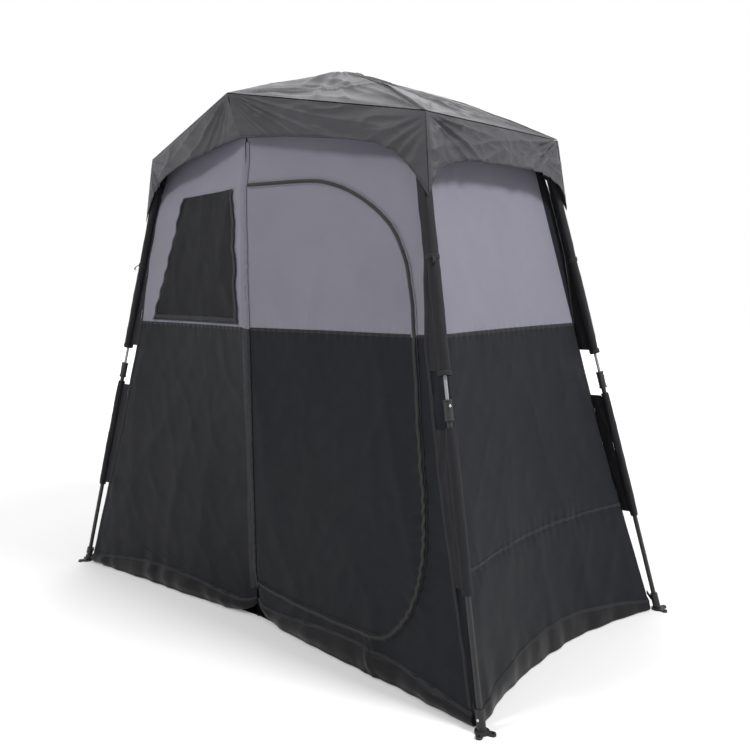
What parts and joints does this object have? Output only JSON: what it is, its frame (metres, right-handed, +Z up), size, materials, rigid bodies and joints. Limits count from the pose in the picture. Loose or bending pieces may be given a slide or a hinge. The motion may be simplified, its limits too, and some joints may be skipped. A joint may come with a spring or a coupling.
{
  "type": "privacy shower tent",
  "caption": "Two-room pop-up privacy shower tent: folding hub frame, telescoping legs, pitched fly roof, fabric walls, a D-shaped door and a window flap.",
  "frame": {"origin": "on the ground under the hub, at the middle of the footprint", "axes": "+X towards the right end wall along the length, +Y towards the back wall, +Z up; the door is in the front wall at -Y"},
  "size_m": [2.1876, 1.1984, 1.9912],
  "materials": {
    "fly_fabric": "matte woven, mid grey",
    "wall_fabric": "matte woven, light grey above and near black below",
    "dark_fabric": "near black woven",
    "floor_fabric": "coated black, slight gloss",
    "rod_steel": "light grey coat over steel",
    "tube_steel": "near black powder coat",
    "pin_steel": "plain steel",
    "button_metal": "bright steel",
    "fitting_plastic": "moulded, fine grain",
    "frame_plastic": "moulded, fine grain"
  },
  "bodies": {
    "root": {"hub_body": "frame_plastic", "hub_pins": "pin_steel", "divider": "wall_fabric", "groundsheet": "floor_fabric"},
    "arm_front_right": {"arm_front_right": "rod_steel", "fly_right_end": "fly_fabric", "shoulder_front_right": "frame_plastic"},
    "arm_front_left": {"arm_front_left": "rod_steel", "fly_front_left": "fly_fabric", "shoulder_front_left": "frame_plastic"},
    "arm_back_right": {"arm_back_right": "rod_steel", "fly_back_right": "fly_fabric", "shoulder_back_right": "frame_plastic"},
    "arm_back_left": {"arm_back_left": "rod_steel", "fly_left_end": "fly_fabric", "shoulder_back_left": "frame_plastic"},
    "arm_front_middle": {"arm_front_middle": "rod_steel", "fly_front_right": "fly_fabric"},
    "arm_back_middle": {"arm_back_middle": "rod_steel", "fly_back_left": "fly_fabric"},
    "upper_leg_front_right": {"upper_rod_front_right": "rod_steel", "upper_sleeve_front_right": "dark_fabric", "skirt_front_right": "fly_fabric", "wall_front_right": "wall_fabric"},
    "lower_leg_front_right": {"lower_tube_front_right": "tube_steel", "lock_fitting_front_right": "fitting_plastic", "lower_sleeve_front_right": "dark_fabric", "foot_front_right": "frame_plastic"},
    "lock_button_front_right": {"lock_button_front_right": "button_metal"},
    "upper_leg_front_left": {"upper_rod_front_left": "rod_steel", "upper_sleeve_front_left": "dark_fabric", "skirt_front_left": "fly_fabric", "wall_front_left": "wall_fabric"},
    "lower_leg_front_left": {"lower_tube_front_left": "tube_steel", "lock_fitting_front_left": "fitting_plastic", "lower_sleeve_front_left": "dark_fabric", "foot_front_left": "frame_plastic"},
    "lock_button_front_left": {"lock_button_front_left": "button_metal"},
    "upper_leg_back_right": {"upper_rod_back_right": "rod_steel", "upper_sleeve_back_right": "dark_fabric", "skirt_back_right": "fly_fabric", "wall_back_right": "wall_fabric", "wall_right_end": "wall_fabric"},
    "lower_leg_back_right": {"lower_tube_back_right": "tube_steel", "lock_fitting_back_right": "fitting_plastic", "lower_sleeve_back_right": "dark_fabric", "foot_back_right": "frame_plastic"},
    "lock_button_back_right": {"lock_button_back_right": "button_metal"},
    "upper_leg_back_left": {"upper_rod_back_left": "rod_steel", "upper_sleeve_back_left": "dark_fabric", "skirt_back_left": "fly_fabric", "wall_back_left": "wall_fabric", "wall_left_end": "wall_fabric"},
    "lower_leg_back_left": {"lower_tube_back_left": "tube_steel", "lock_fitting_back_left": "fitting_plastic", "lower_sleeve_back_left": "dark_fabric", "foot_back_left": "frame_plastic"},
    "lock_button_back_left": {"lock_button_back_left": "button_metal"},
    "door_seam": {"door_seam": "wall_fabric"},
    "door": {"door_panel": "wall_fabric"},
    "window": {"window_flap": "dark_fabric"}
  },
  "joints": [
    {"name": "frame_fold", "type": "hinge", "parent": "root", "child": "arm_front_right", "pos_m": [0.03973, -0.02113, 1.948], "axis": [-0.4695, -0.8829, 0], "range_deg": [0, 109.39], "deforming": ["divider", "groundsheet", "fly_right_end", "fly_front_left", "fly_back_right", "fly_left_end", "fly_front_right", "fly_back_left", "upper_sleeve_front_right", "skirt_front_right", "wall_front_right", "lower_sleeve_front_right", "upper_sleeve_front_left", "skirt_front_left", "wall_front_left", "lower_sleeve_front_left", "upper_sleeve_back_right", "skirt_back_right", "wall_back_right", "wall_right_end", "lower_sleeve_back_right", "upper_sleeve_back_left", "skirt_back_left", "wall_back_left", "wall_left_end", "lower_sleeve_back_left", "door_seam", "door_panel", "window_flap"]},
    {"name": "arm_fold_front_left", "type": "hinge", "parent": "root", "child": "arm_front_left", "pos_m": [-0.03973, -0.02113, 1.948], "axis": [-0.4695, 0.8829, 0], "range_deg": [0, 109.39]},
    {"name": "arm_fold_back_right", "type": "hinge", "parent": "root", "child": "arm_back_right", "pos_m": [0.03973, 0.02113, 1.948], "axis": [0.4695, -0.8829, 0], "range_deg": [0, 109.39]},
    {"name": "arm_fold_back_left", "type": "hinge", "parent": "root", "child": "arm_back_left", "pos_m": [-0.03973, 0.02113, 1.948], "axis": [0.4695, 0.8829, 0], "range_deg": [0, 109.39]},
    {"name": "arm_fold_front_middle", "type": "hinge", "parent": "root", "child": "arm_front_middle", "pos_m": [0, -0.045, 1.948], "axis": [-1, 0, 0], "range_deg": [0, 104.33]},
    {"name": "arm_fold_back_middle", "type": "hinge", "parent": "root", "child": "arm_back_middle", "pos_m": [0, 0.045, 1.948], "axis": [1, 0, 0], "range_deg": [0, 104.33]},
    {"name": "leg_fold_front_right", "type": "hinge", "parent": "arm_front_right", "child": "upper_leg_front_right", "pos_m": [0.67697, -0.35995, 1.65793], "axis": [-0.4695, -0.8829, 0], "range_deg": [-123.89, 0]},
    {"name": "leg_fold_front_left", "type": "hinge", "parent": "arm_front_left", "child": "upper_leg_front_left", "pos_m": [-0.67697, -0.35995, 1.65793], "axis": [-0.4695, 0.8829, 0], "range_deg": [-123.89, 0]},
    {"name": "leg_fold_back_right", "type": "hinge", "parent": "arm_back_right", "child": "upper_leg_back_right", "pos_m": [0.67697, 0.35995, 1.65793], "axis": [0.4695, -0.8829, 0], "range_deg": [-123.89, 0]},
    {"name": "leg_fold_back_left", "type": "hinge", "parent": "arm_back_left", "child": "upper_leg_back_left", "pos_m": [-0.67697, 0.35995, 1.65793], "axis": [0.4695, 0.8829, 0], "range_deg": [-123.89, 0]},
    {"name": "leg_slide_front_right", "type": "slide", "parent": "upper_leg_front_right", "child": "lower_leg_front_right", "axis": [-0.2204, 0.1172, 0.9684], "range_m": [0, 0.69]},
    {"name": "leg_slide_front_left", "type": "slide", "parent": "upper_leg_front_left", "child": "lower_leg_front_left", "axis": [0.2204, 0.1172, 0.9684], "range_m": [0, 0.69]},
    {"name": "leg_slide_back_right", "type": "slide", "parent": "upper_leg_back_right", "child": "lower_leg_back_right", "axis": [-0.2204, -0.1172, 0.9684], "range_m": [0, 0.69]},
    {"name": "leg_slide_back_left", "type": "slide", "parent": "upper_leg_back_left", "child": "lower_leg_back_left", "axis": [0.2204, -0.1172, 0.9684], "range_m": [0, 0.69]},
    {"name": "lock_press_front_right", "type": "slide", "parent": "lower_leg_front_right", "child": "lock_button_front_right", "axis": [-0.855, 0.4546, -0.2496], "range_m": [0, 0.003], "stiffness_N_per_m": 400, "springref_m": -0.001},
    {"name": "lock_press_front_left", "type": "slide", "parent": "lower_leg_front_left", "child": "lock_button_front_left", "axis": [0.855, 0.4546, -0.2496], "range_m": [0, 0.003], "stiffness_N_per_m": 400, "springref_m": -0.001},
    {"name": "lock_press_back_right", "type": "slide", "parent": "lower_leg_back_right", "child": "lock_button_back_right", "axis": [-0.855, -0.4546, -0.2496], "range_m": [0, 0.003], "stiffness_N_per_m": 400, "springref_m": -0.001},
    {"name": "lock_press_back_left", "type": "slide", "parent": "lower_leg_back_left", "child": "lock_button_back_left", "axis": [0.855, -0.4546, -0.2496], "range_m": [0, 0.003], "stiffness_N_per_m": 400, "springref_m": -0.001},
    {"name": "seam_gather", "type": "slide", "parent": "upper_leg_front_right", "child": "door_seam", "axis": [1, 0, 0], "range_m": [0, 0.8309]},
    {"name": "door_swing", "type": "hinge", "parent": "door_seam", "child": "door", "pos_m": [0.004, -0.4785, 0.8], "axis": [0, 0, -1], "range_deg": [0, 110]},
    {"name": "window_lift", "type": "hinge", "parent": "upper_leg_front_left", "child": "window", "pos_m": [-0.2825, -0.4535, 1.5395], "axis": [-0.9883, 0.1526, 0], "range_deg": [0, 80]}
  ],
  "couplings": [
    {"joint": "arm_fold_front_left", "follows": "frame_fold", "ratio": 1},
    {"joint": "arm_fold_back_right", "follows": "frame_fold", "ratio": 1},
    {"joint": "arm_fold_back_left", "follows": "frame_fold", "ratio": 1},
    {"joint": "arm_fold_front_middle", "follows": "frame_fold", "ratio": 0.9533},
    {"joint": "arm_fold_back_middle", "follows": "frame_fold", "ratio": 0.9533},
    {"joint": "leg_fold_front_right", "follows": "frame_fold", "ratio": -1.1321},
    {"joint": "leg_fold_front_left", "follows": "frame_fold", "ratio": -1.1321},
    {"joint": "leg_fold_back_right", "follows": "frame_fold", "ratio": -1.1321},
    {"joint": "leg_fold_back_left", "follows": "frame_fold", "ratio": -1.1321},
    {"joint": "seam_gather", "follows": "frame_fold", "m_per_rad": 0.4347}
  ]
}
